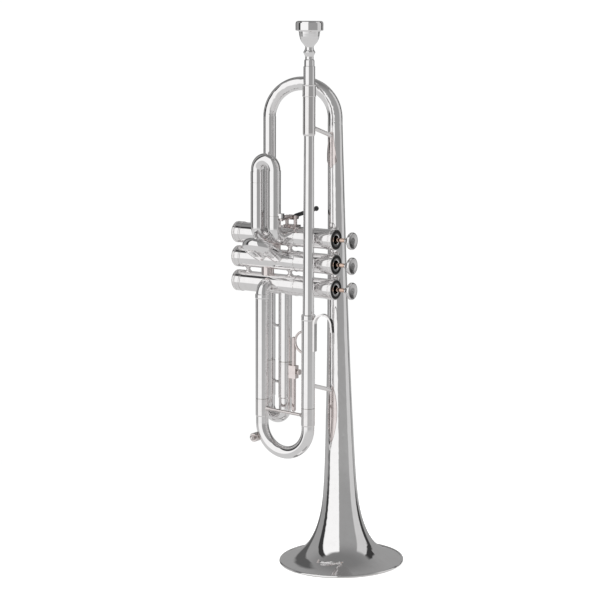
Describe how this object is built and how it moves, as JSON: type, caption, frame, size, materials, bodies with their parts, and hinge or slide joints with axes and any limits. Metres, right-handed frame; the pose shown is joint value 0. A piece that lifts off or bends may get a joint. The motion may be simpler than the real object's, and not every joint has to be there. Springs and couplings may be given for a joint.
{
  "type": "trumpet",
  "caption": "Piston-valve trumpet with flared bell, sliding tuning tubes, finger ring, thumb trigger and a removable mouthpiece.",
  "frame": {"origin": "centre of the bell rim, on the flat under the rolled bead", "axes": "+Z along the bell axis from the rim towards the mouthpiece, +X towards the finger buttons, -Y towards the leadpipe"},
  "size_m": [0.1675, 0.123, 0.5296],
  "materials": {
    "silver_bell": "bright silver plate",
    "silver_tube": "bright silver plate",
    "silver_fitting": "bright silver plate with warm shade in the recesses",
    "silver_casing": "bright silver plate",
    "nickel_inner": "drawn and lapped nickel silver",
    "brass_stem": "bare brass, polished",
    "button_grey": "satin plate on the top face",
    "black_felt": "pressed felt",
    "black_rubber": "moulded sleeve",
    "spring_steel": "drawn wire",
    "guide_plastic": "moulded",
    "silver_mouthpiece": "bright silver plate"
  },
  "bodies": {
    "horn": {"bell": "silver_bell", "leadpipe": "silver_tube", "mouthpiece_receiver": "silver_fitting", "main_upper_sleeve": "silver_tube", "main_lower_sleeve": "silver_tube", "inlet_elbow": "silver_tube", "valve_casing_1": "silver_casing", "valve_casing_2": "silver_casing", "valve_casing_3": "silver_casing", "air_knuckles": "silver_fitting", "casing_spools": "silver_fitting", "bottom_caps": "silver_casing", "top_caps": "silver_casing", "top_cap_felts": "black_felt", "valve_guides": "guide_plastic", "first_slide_elbows": "silver_tube", "first_slide_sleeve": "silver_tube", "first_slide_fixed_tube": "silver_tube", "second_slide_sleeves": "silver_tube", "third_slide_sleeves": "silver_tube", "bell_brace_rods": "silver_fitting", "bell_brace_feet": "silver_fitting", "little_finger_hook": "silver_fitting", "trigger_bracket": "silver_fitting", "trigger_pin": "silver_fitting"},
    "main_slide": {"main_slide_tubes": "nickel_inner", "main_slide_ferrules": "silver_fitting", "main_slide_bow": "silver_tube", "main_slide_brace": "silver_fitting", "water_key_barrel": "silver_fitting"},
    "water_key": {"water_key_button": "silver_fitting"},
    "first_slide": {"first_slide_tubes": "silver_tube", "first_slide_crook": "silver_tube"},
    "second_slide": {"second_slide_tubes": "nickel_inner", "second_slide_crook": "silver_tube"},
    "third_slide": {"third_slide_tubes": "nickel_inner", "third_slide_ferrules": "silver_fitting", "third_slide_crook": "silver_tube", "third_slide_brace": "silver_fitting", "ring_clamp_block": "silver_fitting"},
    "ring_rod": {"finger_ring": "silver_fitting"},
    "clamp_screw": {"ring_thumb_screw": "silver_fitting"},
    "thumb_trigger": {"thumb_lever": "silver_fitting", "thumb_lever_grip": "black_rubber"},
    "mouthpiece_body": {"mouthpiece": "silver_mouthpiece"},
    "valve_1": {"piston_1": "nickel_inner", "valve_stem_1": "brass_stem", "finger_button_1": "button_grey", "stem_felt_1": "black_felt", "valve_spring_1": "spring_steel"},
    "valve_2": {"piston_2": "nickel_inner", "valve_stem_2": "brass_stem", "finger_button_2": "button_grey", "stem_felt_2": "black_felt", "valve_spring_2": "spring_steel"},
    "valve_3": {"piston_3": "nickel_inner", "valve_stem_3": "brass_stem", "finger_button_3": "button_grey", "stem_felt_3": "black_felt", "valve_spring_3": "spring_steel"}
  },
  "joints": [
    {"name": "valve_1_stroke", "type": "slide", "parent": "horn", "child": "valve_1", "axis": [-0.9998, 0.0001, 0.02], "range_m": [0, 0.015], "deforming": ["valve_spring_1"]},
    {"name": "valve_2_stroke", "type": "slide", "parent": "horn", "child": "valve_2", "axis": [-0.9998, 0.0001, 0.02], "range_m": [0, 0.015], "deforming": ["valve_spring_2"]},
    {"name": "valve_3_stroke", "type": "slide", "parent": "horn", "child": "valve_3", "axis": [-0.9998, 0.0001, 0.02], "range_m": [0, 0.015], "deforming": ["valve_spring_3"]},
    {"name": "main_slide_pull", "type": "slide", "parent": "horn", "child": "main_slide", "axis": [-0.02, -0.006, -0.9998], "range_m": [0, 0.04]},
    {"name": "water_key_press", "type": "slide", "parent": "main_slide", "child": "water_key", "axis": [-0.0001, 1, -0.006], "range_m": [0, 0.0015]},
    {"name": "thumb_trigger_pivot", "type": "hinge", "parent": "horn", "child": "thumb_trigger", "pos_m": [-0.03776, -0.02195, 0.34246], "axis": [-0.9998, 0.0001, 0.02], "range_deg": [0, 28]},
    {"name": "first_slide_travel", "type": "slide", "parent": "horn", "child": "first_slide", "axis": [0.02, 0.006, 0.9998], "range_m": [0, 0.0081]},
    {"name": "second_slide_pull", "type": "slide", "parent": "horn", "child": "second_slide", "axis": [0.0094, -0.8801, 0.4747], "range_m": [0, 0.007]},
    {"name": "third_slide_throw", "type": "slide", "parent": "horn", "child": "third_slide", "axis": [-0.02, -0.006, -0.9998], "range_m": [0, 0.025]},
    {"name": "ring_height", "type": "slide", "parent": "third_slide", "child": "ring_rod", "axis": [0.02, 0.006, 0.9998], "range_m": [-0.008, 0.01]},
    {"name": "clamp_screw_turn", "type": "hinge", "parent": "third_slide", "child": "clamp_screw", "pos_m": [-0.0348, -0.02136, 0.19047], "axis": [0.9998, -0.0001, -0.02], "range_deg": [0, 360]},
    {"name": "mouthpiece_pull", "type": "slide", "parent": "horn", "child": "mouthpiece_body", "axis": [0.02, 0.006, 0.9998], "range_m": [0, 0.03]}
  ],
  "couplings": [
    {"joint": "first_slide_travel", "follows": "thumb_trigger_pivot", "m_per_rad": 0.016576}
  ]
}
